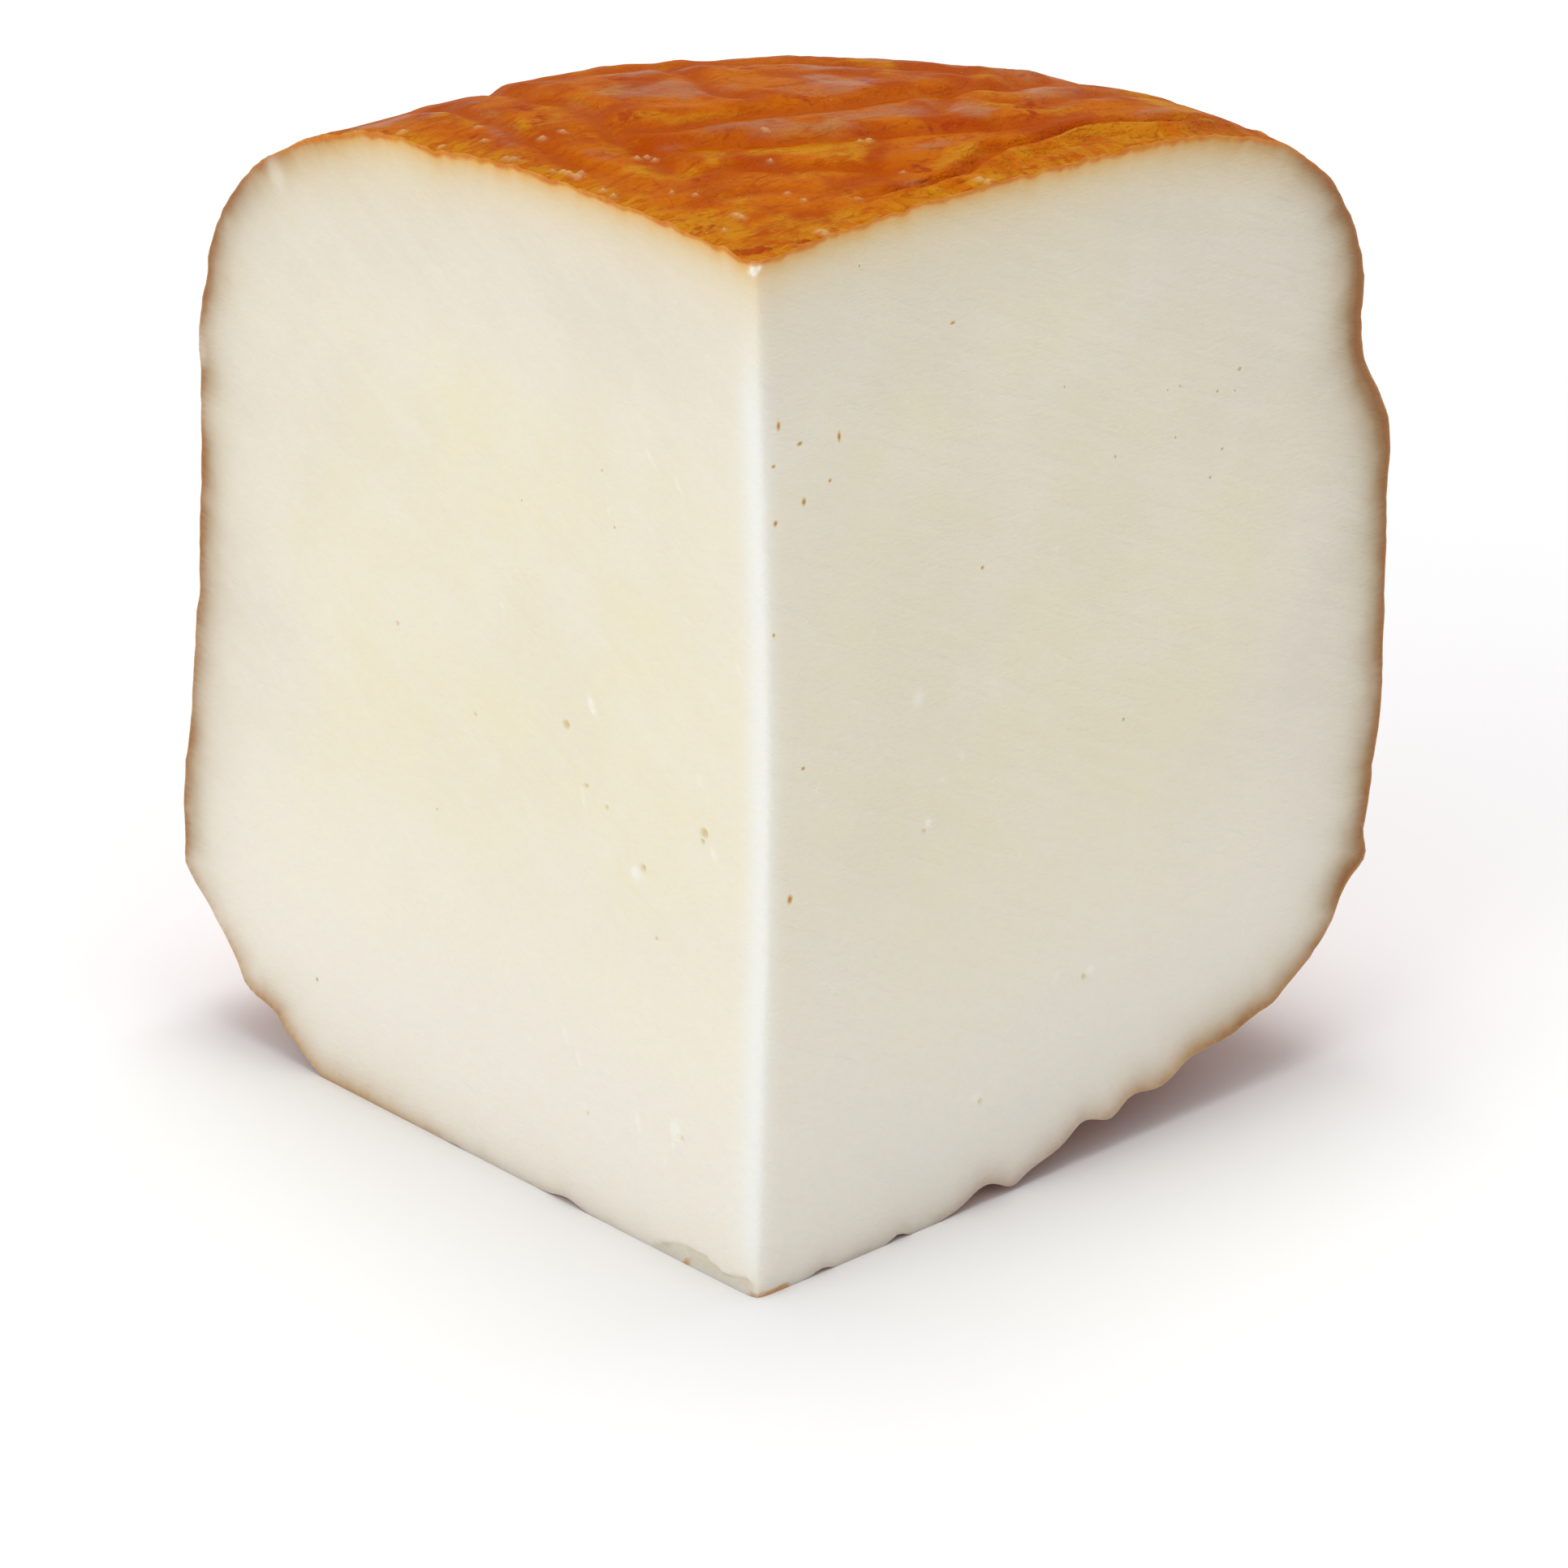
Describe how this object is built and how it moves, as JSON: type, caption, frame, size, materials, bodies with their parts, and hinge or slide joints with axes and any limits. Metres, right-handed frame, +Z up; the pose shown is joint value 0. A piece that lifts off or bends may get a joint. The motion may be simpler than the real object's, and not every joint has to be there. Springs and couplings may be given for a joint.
{
  "type": "cheese wheel quarter",
  "caption": "Upright wedge cut from a small, tall wheel of orange-rind cheese, with flat cut faces of ivory paste and a rounded, cloth-marked rind.",
  "frame": {"origin": "middle of the part's box in plan, on the surface that the wedge stands on", "axes": "+Z up, the upright front edge (the wheel's own axis) towards -Y, the rind towards +Y, +X to the right of someone facing the front edge"},
  "size_m": [0.099, 0.0696, 0.094],
  "materials": {
    "cheese": "moist, softly translucent ivory paste on the cut faces, glossy mottled orange rind outside"
  },
  "bodies": {
    "root": {"cheese_quarter": "cheese"}
  },
  "joints": []
}
